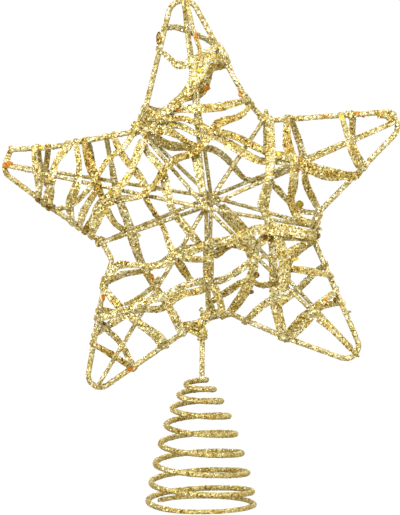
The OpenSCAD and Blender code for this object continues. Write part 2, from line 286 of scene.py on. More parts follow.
def glitter(name, flake, shares, toned=False):
    """Gold glitter with flakes of a size in millimetres. shares says how much of the surface each
    speck colour takes, from the darkest to the brightest."""
    finish = Finish(name, Metallic=0.55, Specular_IOR_Level=0.45)
    where = finish.places()
    flakes = finish.cells(where, 1000 / flake)
    own, gloss = finish.channel(flakes, "Red"), finish.channel(flakes, "Green")
    fine = finish.channel(finish.cells(where, dust_a_flake * 1000 / flake), "Blue")
    patch, warmth = finish.cloud(where, patch_scale, 3.0), finish.cloud(where, warmth_scale, 2.0)
    bright = own * flake_weight + fine * dust_weight + (patch - 0.5) * patch_weight
    if toned:
        tone = finish.stored("tone")
        bright = bright - tone
        warmth = warmth + tone * 1.2 + finish.stored("warm")
    total, stops = 0.0, []
    for share, colour in zip(shares, speck_colours):
        stops.append((total, colour))
        total += share / sum(shares)
    gold = warmth.between(gold_from, gold_full)
    green, blue = 1 - gold * gold_takes_green, 1 - gold * gold_takes_blue
    tint = finish.add("ShaderNodeCombineXYZ", {}, 1.0, green, blue)
    golden = finish.vectors("MULTIPLY", finish.colours(stops, bright), tint)
    finish.feed("Base Color", finish.vectors("MULTIPLY", golden, finish.colours(odd_flakes, gloss)))
    finish.feed("Roughness", 0.28 + gloss * 0.3)
    tilt = finish.vectors("SUBTRACT", flakes, (0.5, 0.5, 0.5))
    face = finish.add("ShaderNodeNewGeometry", {}, out="Normal")
    leaning = finish.vectors("MULTIPLY_ADD", tilt, (flake_lean, flake_lean, flake_lean), face)
    finish.feed("Normal", finish.vectors("NORMALIZE", leaning))
    return finish.material


wire_glitter = glitter("wire_glitter", 0.75, (5, 10, 17, 18, 16, 13, 12, 9))
rib_glitter = glitter("rib_glitter", 0.7, (5, 11, 18, 19, 16, 13, 11, 7))
spring_glitter = glitter("spring_glitter", 0.7, (6, 15, 24, 25, 15, 8, 5, 2))
vine_glitter = glitter("vine_glitter", 0.75, (5, 11, 18, 20, 17, 13, 10, 6), toned=True)
print("finishes:", [m.name for m in (wire_glitter, rib_glitter, spring_glitter, vine_glitter)])

# %% [markdown]
# ## Rough tubes
#
# The real wire can be bent round pegs on a board. Here a wire is a ring of points pushed along a line:
# the ring is extruded and carried to the next point, over and over. A wide, thin ring makes the flat
# strips the same way. A curve with a bevel would be quicker to set up, but its section couldn't swell
# and lean along the way as a strip of vine does.


# %% Sweep
def frame_at(line, i, out, half_width, half_depth, loop=False):
    """Where a ring lies at point i: across the line, outwards, and along it."""
    n = len(line)
    ahead = (line[(i + 1) % n] - line[i - 1]) if loop else (line[min(n - 1, i + 1)] - line[max(0, i - 1)])
    across = ahead.cross(out).normalized()
    upward = across.cross(ahead).normalized()
    place = Matrix.Identity(4)
    for k, column in enumerate((across * half_width, upward * half_depth, ahead.normalized())):
        place[0][k], place[1][k], place[2][k] = column
    place.translation = line[i]
    return place


def sweep(line, outs, half_widths, half_depths, sides, square=1.0, loop=False):
    """A closed tube or band along a line. square under 1 makes its section boxier."""
    bm = bmesh.new()
    ring = bmesh.ops.create_circle(bm, cap_ends=not loop, segments=sides, radius=1)["verts"]
    for v in ring:
        v.co.x = math.copysign(abs(v.co.x) ** square, v.co.x)
        v.co.y = math.copysign(abs(v.co.y) ** square, v.co.y)
    edges = first = bm.edges[:]
    was = Matrix.Identity(4)
    for i in range(len(line)):
        now = frame_at(line, i, outs[i], half_widths[i], half_depths[i], loop)
        if i > 0:
            grown = bmesh.ops.extrude_edge_only(bm, edges=edges)["geom"]
            ring = [g for g in grown if isinstance(g, bmesh.types.BMVert)]
            new = set(ring)
            edges = [g for g in grown if isinstance(g, bmesh.types.BMEdge) and set(g.verts) <= new]
        bmesh.ops.transform(bm, matrix=now @ was.inverted(), verts=ring)
        was = now
    if loop:
        bmesh.ops.bridge_loops(bm, edges=list(first) + list(edges))
    else:
        bmesh.ops.contextual_create(bm, geom=edges)
    bmesh.ops.recalc_face_normals(bm, faces=bm.faces)
    return bm


def even_tube(line, out, radius, sides):
    """A round wire of one radius, in millimetres."""
    radii = [radius * mm] * len(line)
    return sweep(line, [out] * len(line), radii, radii, sides)


# %% [markdown]
# ## The crust
#
# Glitter is stuck on with glue and stands up from the wire in grains, so its edge is ragged against
# the light. Every point is moved in or out by a random amount, and a share of the small faces is poked
# up into low pyramids of four heights. Real geometry is used because a bump in a material
# would leave the edge smooth. Each shape also keeps a tone, which darkens it as a whole.

# %% Grains and tone
# Shares of the poked faces, each with its height for one grain
grain_heights = ((0.34, 0.5), (0.32, 1.0), (0.24, 1.6), (0.1, 3.2))
tone_drift, tone_scale = 0.12, 90


def crust(bm, chance, rough=0.06, grain=0.15, share=0.5):
    """Glitter's rough surface: points moved in and out, and a share of the faces poked up."""
    bm.normal_update()
    for v in bm.verts:
        v.co += v.normal * chance.gauss(0, rough * mm)
    bm.verts.index_update()
    faces = [f for f in bm.faces if len(f.verts) == 4]
    # bmesh hands out new faces in an order that changes from run to run, so they are sorted first
    faces.sort(key=lambda f: sorted(v.index for v in f.verts))
    chance.shuffle(faces)
    picked = faces[:int(len(faces) * share)]
    at = 0
    for portion, height in grain_heights:
        count = int(len(picked) * portion)
        bmesh.ops.poke(bm, faces=picked[at:at + count], offset=grain * mm * height)
        at += count
    return bm


def shaded(bm, tone, warm=0.0):
    """Stores how dark a shape is, with slow changes over it, and how much browner than the rest."""
    shade, brown = bm.verts.layers.float.new("tone"), bm.verts.layers.float.new("warm")
    for v in bm.verts:
        v[shade] = tone + tone_drift * noise.noise(v.co * tone_scale)
        v[brown] = warm
    return bm


# %% [markdown]
# Shapes become one named piece.

# %% A finished piece
def finished(name, parts, material, body, nodes):
    """One piece from several closed shapes, in place of the CAD nodes that it stands for."""
    mesh = bpy.data.meshes.new(name)
    whole = bmesh.new()
    for bm in parts:
        bm.to_mesh(mesh)
        bm.free()
        whole.from_mesh(mesh)
    whole.to_mesh(mesh)
    whole.free()
    mesh.materials.append(material)
    piece = bpy.data.objects.new(name, mesh)
    scene.collection.objects.link(piece)
    if nodes:
        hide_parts(*nodes)
    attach(piece, body)
    print(name, "faces", len(mesh.polygons))
    return piece


# %% [markdown]
# ## Lines
#
# A bent wire is straight between its corners and round at them. A strip of vine has no straight part,
# so a smooth line is drawn through the points that it passes. Both are cut into even steps, so that the
# grains of glitter come out the same size everywhere.

# %% Lines
def even(line, step, loop=False):
    """The same line with its points an even step apart."""
    points = line + [line[0]] if loop else line
    result, carried = [points[0].copy()], 0.0
    for a, b in zip(points, points[1:]):
        length = (b - a).length
        while carried + length >= step:
            a = a + (b - a) * ((step - carried) / length)
            length = (b - a).length
            result.append(a.copy())
            carried = 0.0
        carried += length
    if loop:
        return result[:-1] if (result[-1] - result[0]).length < step / 2 else result
    if (result[-1] - points[-1]).length < step / 2:
        result.pop()
    return result + [points[-1].copy()]


def smooth(points, steps):
    """A smooth line through points, with a number of steps between each two."""
    last, line = len(points) - 1, []
    for i in range(last):
        a, b, c, d = points[max(0, i - 1)], points[i], points[i + 1], points[min(last, i + 2)]
        for s in range(steps):
            t = s / steps
            line.append((2 * b + (c - a) * t + (2 * a - 5 * b + 4 * c - d) * t * t
                         + (3 * b - a - 3 * c + d) * t ** 3) / 2)
    return line + [points[-1].copy()]


def calmed(values, reach, nothing):
    """Each value's mean with its neighbours, up to a number of places away."""
    near = [values[max(0, k - reach):k + reach + 1] for k in range(len(values))]
    return [sum(few, nothing) / len(few) for few in near]


def bend(a, b, c, radius):
    """The arc that rounds corner b."""
    u, v = (a - b).normalized(), (c - b).normalized()
    half = u.angle(v) / 2
    turn = math.pi - 2 * half
    middle = b + (u + v).normalized() * radius / math.sin(half)
    first, final = b + u * radius / math.tan(half) - middle, b + v * radius / math.tan(half) - middle
    n = max(2, math.ceil(turn / math.radians(7)))
    line = []
    for k in range(n + 1):
        at = turn * k / n
        line.append(middle + (first * math.sin(turn * (1 - k / n)) + final * math.sin(at)) / math.sin(turn))
    return line


print("a square corner bent at 10 mm has",
      len(bend(Vector((0, 0, 20)), Vector((0, 0, 0)), Vector((20, 0, 0)), 10)), "points")

# %% [markdown]
# ## Places on the star
#
# The strips lie over a shallow five-armed tent: at the outline they touch the thick wire, and at the
# hub they pass over all the ribs. The same few functions that the construction uses tell how deep that
# tent is at any point. Lengths here are in millimetres from the star's centre.

# %% From the photograph to the star
rim_r, rib_r, post_r = 1.35, 0.95, 1.3
hub_depth, lay_gap, strip_t, level_step = 22, 0.15, 0.8, 1.7
narrow, common, broad = 2.6, 3.1, 4.2
# The outline's corners in pixels, clockwise from the left of the top arm, each with its bend radius
rim_px = [(178, -25, 15), (246, 100, 30), (265, 121, 8), (418.5, 110.3, 14), (319, 212, 10), (312, 236, 10),
          (369.5, 368, 13), (284, 337, 40), (229, 313, 12), (200, 321, 20), (83, 402, 12), (103.5, 287, 30),
          (112, 260, 10), (102, 242, 6), (50, 207, 60), (1.8, 171, 12), (11, 149.5, 4), (50, 147.5, 60),
          (138, 131, 8), (147, 103, 40)]
# Where the ribs end: the five arms and, clockwise after each, the five notches
tip_px = [(184, 3), (393, 123), (355, 352), (98, 385.5), (6, 165)]
notch_px = [(263, 121), (314, 226), (208, 319), (103, 242), (140, 130)]
hub_px = (208.75, 202.25)


def placed(point, y=0.0):
    """Across and up from the star's centre, for a pixel whose point lies at depth y."""
    u = (point[0] - centre_px[0]) * pixel / mm
    v = (centre_px[1] - point[1]) * pixel / mm
    x = (u - y * math.sin(view_turn)) / math.cos(view_turn)
    z = (v + x * math.sin(view_turn) * math.sin(view_rise)
         - y * math.cos(view_turn) * math.sin(view_rise)) / math.cos(view_rise)
    return Vector((x, z))


def at_star(p):
    """A point from the star's centre in millimetres, across, in depth and up, in the shared frame."""
    return star_centre + Vector(p) * mm


hub = placed(hub_px)
tips = [placed(p) for p in tip_px]
notches = [placed(p) for p in notch_px]
rib_slope = math.atan(hub_depth / (notches[0] - hub).length)
rib_pitch = 2 * rib_r / math.cos(rib_slope) + lay_gap / 2
rib_lap = (rim_r + rib_r + lay_gap) / math.cos(rib_slope)
hub_top = hub_depth + 2 * rib_pitch
print("hub top", round(hub_top, 2), "rib pitch", round(rib_pitch, 3))

# %% [markdown]
# The tent's plan is the outline's corners, where the corner at an arm's end gives way to the end that
# the ribs reach. Between two corners and the hub the tent is a flat triangle, so a point's share of the
# three corners says how deep it is.

# %% The tent under the strips
# The outline's corner at each arm's end, with its arm; the left arm has a second one, left out
arm_ends, spare_corner = {0: 0, 3: 1, 6: 2, 10: 3, 15: 4}, 16
around = []
for i, corner in enumerate(rim_px):
    if i != spare_corner:
        around.append(tips[arm_ends[i]] if i in arm_ends else placed(corner))
# The share of the way to the hub over which a strip climbs from the outline onto the ribs
lift_share = 0.04


def hub_share(p):
    """How far a point lies towards the hub: nothing on the outline and one at the hub."""
    q = p - hub
    for i, corner in enumerate(around):
        a, b = corner - hub, around[(i + 1) % len(around)] - hub
        whole = a.x * b.y - a.y * b.x
        to_a, to_b = (q.x * b.y - q.y * b.x) / whole, (a.x * q.y - a.y * q.x) / whole
        if to_a >= 0 and to_b >= 0:
            return max(0.0, 1 - to_a - to_b)


def strip_depth(p):
    """How far in front of the star's middle plane a strip's own middle lies."""
    share = hub_share(p)
    return (rim_r + lay_gap + strip_t / 2 + share * (hub_top - rib_lap)
            + min(1, share / lift_share) * (rib_lap + rib_r + 2 * lay_gap - rim_r))


def strip_out(p, side):
    """The way that a strip's face looks there, from the tent's slope over a broad strip's width."""
    h = broad
    dx = strip_depth(p - Vector((h, 0))) - strip_depth(p + Vector((h, 0)))
    dz = strip_depth(p - Vector((0, h))) - strip_depth(p + Vector((0, h)))
    return Vector((dx / (2 * h), side, dz / (2 * h)))


print("a strip lies", round(strip_depth(tips[0]), 2), "mm deep at the top arm's end and",
      round(strip_depth(hub), 2), "at the hub")

# %% [markdown]
# ## The outline
#
# One thick wire, bent round at each corner and closed on itself. Its corners are kept as the
# construction has them, each with a bend radius, and the line between is straight. Its coat of glitter
# is thicker in places, so the radius drifts a little along the way.

# %% The thick wire
rim_step = wire_step = 0.5
thick_drift, thick_scale = 0.09, 420
corners = [Vector((p.x, 0, p.y)) for p in (placed(c) for c in rim_px)]
rim_line = []
for i, corner in enumerate(corners):
    rim_line += bend(corners[i - 1], corner, corners[(i + 1) % len(corners)], rim_px[i][2] * pixel / mm)
rim_line = even(rim_line, rim_step, loop=True)
rim_path = [at_star(p) for p in rim_line]
chance = random.Random(11)
rim_radii = [rim_r * mm * (1 + thick_drift * noise.noise(p * thick_scale)) for p in rim_path]
outline_tube = sweep(rim_path, [Vector((0, 1, 0))] * len(rim_path), rim_radii, rim_radii, 13, loop=True)
crust(outline_tube, chance, rough=0.05, grain=0.14)
dressed = [finished("glittered_outline", [outline_tube], wire_glitter, "star", ["rim_wire"])]

# %% [markdown]
# ## The ribs
#
# Each rib is one thin wire from the end of an arm over the hub to the notch across from it. Five
# lie in front and five behind, and they cross at the hub one over another, so each has its own place
# in the hub's stack. They are welded or glued to the outline at both ends.

# %% Ten ribs
# Each rib's place in the stack of its hub, counted from the inside
front_order, back_order = [2, 0, 3, 1, 4], [1, 4, 2, 0, 3]
rib_bend, rib_coat = 1.5, 0.05
for side, order, word in ((-1, front_order, "front"), (1, back_order, "back")):
    for i in range(5):
        top = Vector((hub.x, side * (hub_depth + (order[i] - 2) * rib_pitch), hub.y))
        notch = notches[(i + 2) % 5]
        a = Vector((tips[i].x, side * rib_lap, tips[i].y))
        b = Vector((notch.x, side * rib_lap, notch.y))
        a += (a - top).normalized() * rim_r
        b += (b - top).normalized() * rim_r
        path = even([at_star(p) for p in [a, *bend(a, top, b, rib_bend), b]], wire_step * mm)
        tube = even_tube(path, Vector((0, side, 0)), rib_r + rib_coat, 9)
        crust(tube, chance, rough=0.05, grain=0.13)
        node = f"{word}_rib_{i + 1}"
        dressed.append(finished("glittered_" + node, [tube], rib_glitter, "star", [node]))

# %% [markdown]
# ## The spring and its post
#
# One wire makes both on the real star. It comes down from the bottom notch, turns into a small first
# ring, and winds down in growing turns to a flat foot.

# %% The spring's turns
post_bend, spring_h, spring_top_r, spring_foot_r = 2.6, 64.2, 4.2, 27
spring_lean, foot_tuck, foot_flat = 1.5, 2.7, 0.5
spring_turns, grow_turns, foot_turns, flat_turns, start_turn = 8.43, 7.4, 8, 7.7, -30 / 360
# How much of the radius grows as a sine, fast at first, and how far the height stays above an even slope
sine_share, bulge_share, upper_share = 0.4, 0.088, 0.0234
steps_a_turn = 96
coil_step, coil_coat = 0.55, 0.08


def spring_at(t):
    """A point of the spring's centre line, t turns below its first."""
    s, u = min(1, max(0, t) / grow_turns), min(1, max(0, t) / flat_turns)
    grown = sine_share * math.sin(math.pi / 2 * s) + (1 - sine_share) * s
    tucked = foot_tuck * max(0, t - foot_turns) / (spring_turns - foot_turns)
    r = spring_top_r + (spring_foot_r - spring_top_r) * grown - tucked
    above = bulge_share * math.sin(math.pi * u) + upper_share * math.sin(2 * math.pi * u)
    z = post_r - foot_flat + spring_h * (1 - u + above)
    return Vector((r * math.cos(2 * math.pi * t) - spring_lean * (z - post_r) / spring_h,
                   r * math.sin(2 * math.pi * t), z)) * mm


count = round((spring_turns - start_turn) * steps_a_turn)
coil_path = even([spring_at(start_turn + k / steps_a_turn) for k in range(count + 1)], coil_step * mm)
coil_tube = even_tube(coil_path, Vector((0, 0, 1)), post_r + coil_coat, 15)
crust(coil_tube, chance, rough=0.045, grain=0.11, share=0.42)
everything = coil_tube.verts[:] + coil_tube.edges[:] + coil_tube.faces[:]
flat = bmesh.ops.bisect_plane(coil_tube, geom=everything, plane_co=(0, 0, 0), plane_no=(0, 0, -1),
                              clear_outer=True)["geom_cut"]
bmesh.ops.holes_fill(coil_tube, edges=[g for g in flat if isinstance(g, bmesh.types.BMEdge)], sides=0)
spring = finished("glittered_spring", [coil_tube], spring_glitter, "base", ["foot_spring"])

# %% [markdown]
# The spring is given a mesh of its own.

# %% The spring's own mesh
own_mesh(spring)

# %% [markdown]
# The post goes up from an elbow at the spring's first turn, in front of the bottom notch, and ends
# behind the vine. A cut wire's end is filed round, so the rings at its head grow from a third of the
# radius to all of it along a quarter of a circle.

# %% The post
post_head_px = (202.7, 314)
least_round = 0.35
post_way = Vector((-math.sin(2 * math.pi * start_turn), math.cos(2 * math.pi * start_turn), 0))
post_out = Vector((math.cos(2 * math.pi * start_turn), math.sin(2 * math.pi * start_turn), 0))
post_end = spring_at(start_turn) - post_way * 2 * lay_gap * mm
post_elbow = post_end - post_way * post_bend * mm
post_depth = -rim_r - post_r - lay_gap
head = placed(post_head_px, post_depth)
post_head = at_star((head.x, post_depth, head.y))
elbow = bend(post_head, post_elbow, post_end, (post_bend - lay_gap) * mm)
post_path = even([post_head, *elbow, post_end], wire_step * mm)
post_radii = []
for k in range(len(post_path)):
    inward = 1 - min(1, k * wire_step / post_r)
    post_radii.append(post_r * mm * max(least_round, math.sqrt(1 - inward ** 2)))
post_tube = sweep(post_path, [post_out] * len(post_path), post_radii, post_radii, 15)
crust(post_tube, chance, rough=0.05, grain=0.13)
dressed.append(finished("glittered_post", [post_tube], wire_glitter, "star", ["post_wire"]))

# %% [markdown]
# ## The vine strips
#
# Flat strips of vine run from wire to wire over the ribs. Each was read from the photograph as a
# few points that it passes, each with how many pixels wide it looks there, and a tone: how much darker it
# is than the rest. Where strips cross, the later one lies a level higher. A strip swells and narrows
# like a leaf as it goes, and where it meets the outline it is hooked round it.

# %% The strips' ways
front_strips = {
    "top": [
        (common, 0.0, [(158, 49.5, 4.5), (167, 56, 5), (180, 66, 6.5), (197, 59.5, 7.5), (217, 46.5, 5)]),
        (broad, 0.04, [(227, 60, 6), (210, 58, 8), (197, 67, 10), (191.5, 87, 9), (175, 104.5, 10),
            (158, 115, 8), (144, 118, 6)]),
        (common, 0.0, [(146, 109, 5), (162, 117, 5), (178, 110, 6), (200, 109.5, 8), (222, 107, 7.5),
            (247, 100, 4.5)]),
        (narrow, 0.12, [(156, 121, 5), (172, 118, 5), (190, 120, 5), (213, 132, 6)]),
        (narrow, 0.06, [(188, 5, 4.2), (195, 34, 4.2), (200, 50, 3.5), (201, 68, 5)])],
    "centre": [
        (common, 0.04, [(141.5, 125, 6), (160, 125, 7), (180, 126, 6), (196, 134, 5), (216, 138, 6),
            (233, 147, 8), (258, 161, 7), (278, 162, 8), (297, 162, 6)]),
        (broad, 0.12, [(250, 106, 4), (240, 116, 5), (220, 123, 8.5), (215, 131, 7), (236, 137, 6),
            (268, 153, 7), (290, 158, 8), (310, 168, 11), (335, 173, 8), (358, 175, 6)]),
        (common, 0.0, [(142, 132, 6), (158, 129, 7), (180, 137, 5.5), (194, 152, 8), (199, 174, 7),
            (203, 194, 5)]),
        (common, 0.02, [(141, 139, 6), (148, 153, 6), (162, 170, 6), (167, 191, 8.5), (173, 210, 7),
            (185, 226, 7.5), (199, 243, 6.5), (210, 252, 5)]),
        (common, 0.12, [(214, 131, 6), (196, 151, 6.5), (176, 158.5, 7), (163, 172, 6), (155, 184, 5),
            (144, 193, 5)]),
        (common, 0.06, [(213, 257, 7), (227, 245, 9), (244, 239, 9), (254, 246, 6)]),
        (broad, 0.06, [(209, 240, 9), (209, 260, 9.5), (209, 283, 8)])],
    "left": [
        (narrow, 0.0, [(35, 149, 5), (34.5, 158, 4.5), (38.5, 178, 8), (38, 188, 5), (39, 200, 6)]),
        (common, 0.0, [(68, 146, 8), (56, 163, 5), (52, 180, 7), (48, 198, 8), (47, 206, 6)]),
        (common, 0.0, [(76, 144.5, 5), (79.5, 165, 4.5), (77, 185, 8.5), (70, 204, 8), (72, 220, 5)]),
        (broad, 0.24, [(84, 141.5, 5), (91, 166, 8.5), (100, 190, 6), (102, 200, 5), (97, 212, 7),
            (86, 230, 6)]),
        (narrow, 0.04, [(133, 134, 5), (124, 147, 5), (109, 159, 5), (99, 174, 5), (88, 190, 5),
            (74, 203, 4.5), (57, 209, 5)]),
        (broad, 0.0, [(144, 138, 7), (136, 159, 8), (128, 177, 5.5), (115, 193, 8), (101, 208, 13),
            (92, 234, 6)]),
        (common, 0.08, [(114, 137, 5), (124, 157, 6.5), (137, 173, 7), (145, 186, 6), (147, 200, 5.5),
            (162, 224, 5), (171, 248, 6), (184, 270, 7.5), (193, 283, 5)]),
        (common, 0.04, [(102, 206, 6), (120, 199, 6), (140, 196, 5), (150, 190, 5), (158, 189, 4)])],
    "lower_left": [
        (common, 0.04, [(107, 280, 6), (119, 264, 7), (140, 264, 5), (163, 263, 6), (192, 250, 7),
            (212, 242, 9), (233, 238, 8), (256, 229, 9), (270, 229, 10), (284, 229, 10), (316, 234, 9)]),
        (narrow, 0.04, [(170, 251, 5), (190, 257, 6), (216, 257, 5)]),
        (common, 0.04, [(103, 287, 6), (120, 307, 7), (138, 322, 7), (156, 335, 9), (164, 345, 11)]),
        (common, -0.04, [(98, 318, 6), (120, 311, 7), (142, 301.5, 7), (164, 296, 7), (181, 287, 7),
            (199, 281, 7), (220, 280, 7), (243, 267, 6.5), (256, 256, 6)]),
        (narrow, 0.1, [(93, 344, 4), (111, 354, 7), (131, 367, 5)])],
    "lower_right": [
        (common, 0.1, [(206, 305, 5), (228, 291, 7), (246, 280, 5), (262, 285, 7), (280, 281, 6)]),
        (common, 0.06, [(214, 283, 7), (221, 301, 6), (223, 315, 6)]),
        (broad, 0.08, [(256, 246, 8), (270, 236, 9), (298, 236, 9), (315, 238, 9)]),
        (common, 0.06, [(286, 268, 6), (309, 271, 6.5), (330, 275, 4)]),
        (common, 0.02, [(337, 290, 5), (320, 303, 7), (303, 318, 9), (284, 336, 5)])],
    "right": [
        (common, 0.0, [(270, 121, 7), (271, 150, 8), (268, 178, 6), (261, 203, 6), (266, 214, 6),
            (278, 236, 9), (285, 270, 12), (280, 292, 8), (262, 305, 6.5), (246, 320, 5)]),
        (broad, 0.08, [(287, 120, 5), (287.5, 144, 8.5), (294, 163, 7), (293, 188, 9.5), (291, 200, 8),
            (299, 218, 6), (313, 222, 5)]),
        (common, 0.0, [(341, 115, 4), (347, 136, 5), (352, 155, 6), (361, 168, 6)])]}
back_strips = {
    "top": [
        (narrow, 0.02, [(164, 28, 5), (180, 28.5, 5.5), (197, 35.5, 6), (218, 46, 6)]),
        (common, 0.14, [(229, 66, 6), (211, 68, 8), (206, 80, 8.5), (199, 93, 9), (178, 100, 7),
            (164, 112, 7), (146, 108, 6)])],
    "centre": [
        (common, 0.1, [(143, 122, 6), (156, 137, 7), (172, 146, 9), (208, 148, 6.5), (226, 158, 6.5),
            (244, 178, 5), (262, 180, 6), (282, 172, 6), (302, 167, 6), (325, 177, 5.5), (354, 177, 6)]),
        (broad, 0.12, [(219, 206, 10), (240, 228, 11.5), (252, 243, 9), (255, 262, 7), (246, 290, 9.5),
            (229, 314, 7)])],
    "left": [
        (common, 0.14, [(48, 148, 5), (45, 168, 5), (39, 186, 6), (38, 199, 6)]),
        (narrow, 0.1, [(38, 149, 4), (41, 172, 4), (50, 190, 6), (48, 206, 6)]),
        (common, 0.1, [(88, 141, 4.5), (93, 170, 5), (96, 188, 5), (84, 210, 6.5), (79, 226, 4.5)]),
        (common, 0.0, [(106, 138, 4.5), (110, 160, 4.5), (117, 193, 7), (129, 226, 8), (140, 261, 7),
            (157, 290, 6.5), (169, 308, 7), (182, 332, 9)]),
        (common, 0.08, [(98, 199, 5), (104, 205, 6), (115, 224, 6), (136, 237, 5)])],
    "lower_left": [
        (narrow, 0.06, [(104, 284, 6), (122, 275, 7), (142, 271.5, 4.5), (162, 262, 4.5), (178, 250, 5),
            (203, 247, 5)]),
        (common, 0.14, [(99, 310, 5), (123, 314.5, 6), (142, 310, 6), (161, 309, 6), (180, 296, 7),
            (198, 291.5, 7), (214, 285, 6)]),
        (narrow, 0.1, [(95.5, 334, 5), (114, 322, 7), (137, 308, 6)]),
        (narrow, 0.06, [(97.5, 319, 4), (107, 331, 5.5), (119, 343, 5), (132, 366, 6)])],
    "lower_right": [
        (common, 0.06, [(325, 265, 4), (312, 276, 6), (298, 290, 6), (278, 305, 7)]),
        (common, 0.08, [(341, 303, 5), (320, 308, 6), (306, 322, 9), (289, 339, 6)]),
        (narrow, 0.1, [(314, 241, 5), (296, 255, 5), (280, 276, 6)])],
    "right": [
        (broad, 0.06, [(266, 120, 6), (267, 148, 7), (271, 172, 7), (266, 210, 6), (272, 243, 7),
            (274, 283, 8), (276, 306, 9.5), (283, 336, 9)]),
        (common, 0.04, [(291, 120, 5), (304, 160, 7), (306, 184, 7.5), (319, 211, 5)]),
        (narrow, 0.06, [(268, 179, 6), (281.5, 194.5, 6), (297, 210.5, 5), (317, 214, 4.5)]),
        (narrow, 0.1, [(352, 114, 6), (353, 143, 5), (361, 161, 4.5), (365, 166, 5)])]}

# %% [markdown]
# ## Where each strip lies
#
# A wound strip rests on whatever is under it. Its centre line takes the tent's depth at each point, the
# larger of its neighbours' so that it never dips into a rib, and lands on the outline at its ends.
# Strips that would cut through each other are told apart by levels, as the construction does it: each
# takes the lowest level that no earlier strip near it holds.


# %% Each strip's line and level
point_steps = 3


def strip_line(points, side):
    """A strip's centre line on level 0, as the construction has it."""
    fine = smooth([Vector(p[:2]) for p in points], 2 * point_steps)
    fine = [placed(p, side * strip_depth(placed(p))) for p in fine]
    depth = [strip_depth(p) for p in fine]
    last, line = len(fine) - 1, []
    for i in range(0, last + 1, 2):
        lands = i in (0, last) and hub_share(fine[i]) < lift_share
        near = [i] if lands else [max(0, i - 1), i, min(last, i + 1)]
        line.append(Vector((fine[i].x, side * max(depth[k] for k in near), fine[i].y)))
    return line


def to_segment(p, a, b):
    """How far a point is from a stretch between two others."""
    d = b - a
    return (p - a - d * max(0, min(1, (p - a).dot(d) / d.dot(d)))).length


def beside(a, b, reach):
    """Whether a point of line a comes within reach of line b."""
    return any(to_segment(p, b[i - 1], b[i]) < reach for p in a for i in range(1, len(b)))


def levels(lines, widths):
    """Each strip lies on the lowest level that no earlier strip near it holds."""
    found, flat = [], [[Vector((p.x, p.z)) for p in line] for line in lines]
    for i in range(len(lines)):
        taken = set()
        for j in range(i):
            reach = (widths[i] + widths[j]) / 2 + lay_gap
            if beside(flat[i], flat[j], reach) or beside(flat[j], flat[i], reach):
                taken.add(found[j])
        found.append(min(set(range(len(taken) + 1)) - taken))
    return found


all_strips = []
for side, strips, word in ((-1, front_strips, "front"), (1, back_strips, "back")):
    listed = [(group, *strip) for group, group_strips in strips.items() for strip in group_strips]
    lines = [strip_line(points, side) for _, _, _, points in listed]
    found = levels(lines, [width for _, width, _, _ in listed])
    print(word, "levels", found)
    for (group, _, tone, points), line, level in zip(listed, lines, found):
        all_strips.append((f"{word}_vine_{group}", side, tone, points, line, level))

# %% [markdown]
# ## Hooks
#
# A strip's end is bent round the outline to hold it: it goes over the outside of the thick wire and
# down behind it. The hook is an arc about the wire's own line, where the strip's end comes nearest to
# it, and it drifts along the wire as far as the strip's slant says.

# %% A hook at a strip's end
hook_points, hook_turn, hook_gap = 7, 26, 0.05
least_across, most_drift, drift_step = 0.6, 0.7, 0.2


def nearest_on_rim(p):
    """The outline's nearest point, and the way that the wire runs there."""
    best = min(range(len(rim_line)), key=lambda i: (rim_line[i] - p).length)
    return rim_line[best], (rim_line[(best + 3) % len(rim_line)] - rim_line[best - 3]).normalized()


def on_rim(p):
    return nearest_on_rim(Vector((p.x, 0, p.z)))[0]


def hook(end, before, side, lift):
    """The points of a hook at a strip's end, from beside the outline round its far side."""
    centre, along = nearest_on_rim(Vector((end.x, 0, end.z)))
    outward = Vector((centre.x - hub.x, 0, centre.z - hub.y))
    outward = (outward - along * outward.dot(along)).normalized()
    travel = end - before
    drift = travel.dot(along) / max(least_across, abs(travel.dot(outward)))
    drift = max(-most_drift, min(most_drift, drift))
    reach = rim_r + strip_t / 2 + hook_gap + lift
    points = []
    for k in range(1, hook_points + 1):
        a = math.radians(90 - hook_turn * k)
        about = outward * math.cos(a) + Vector((0, side, 0)) * math.sin(a)
        points.append(centre + along * drift * k * drift_step + about * reach)
    return points


print("a hook goes", hook_points * hook_turn, "degrees round the outline")

# %% [markdown]
# ## One strip
#
# Vine is peeled into flat strips that keep the plant's uneven breadth, and it twists as it dries.
# Three slow noises along the strip change its breadth, its thickness and its lean. The line, and
# then the breadth, are calmed over their neighbours so that a hook joins its strip without a kink.

# %% A strip that swells and twists
# Sideways noise hides part of a strip, so it is made broader than it looks in the photograph
breadth_gain = 1.17
strip_step, rim_share, hook_lift = 0.55, 0.03, 0.12
twist_most, breadth_drift, thick_share = 0.5, 0.16, 0.3
twist_scale, breadth_scale, thin_scale = 60, 120, 200
end_share = 0.7


def with_hooks(line, breadths, side, level):
    """A strip's body with a hook before and after it where it meets the outline, and for each point
    the way that its face looks and how broad it is."""
    body = [p + Vector((0, side * level * level_step, 0)) for p in line]
    meets = [hub_share(Vector((line[k].x, line[k].z))) < rim_share for k in (0, -1)]
    first = hook(body[0], body[1], side, level * hook_lift)[::-1] if meets[0] else []
    last = hook(body[-1], body[-2], side, level * hook_lift) if meets[1] else []
    outs = [strip_out(Vector((p.x, p.z)), side) for p in line]
    ways = [p - on_rim(p) for p in first] + outs + [p - on_rim(p) for p in last]
    ends = [min(breadths[k], narrow) for k in (0, -1)]
    broadness = [ends[0]] * len(first) + breadths + [ends[1]] * len(last)
    return first, body, last, ways, broadness


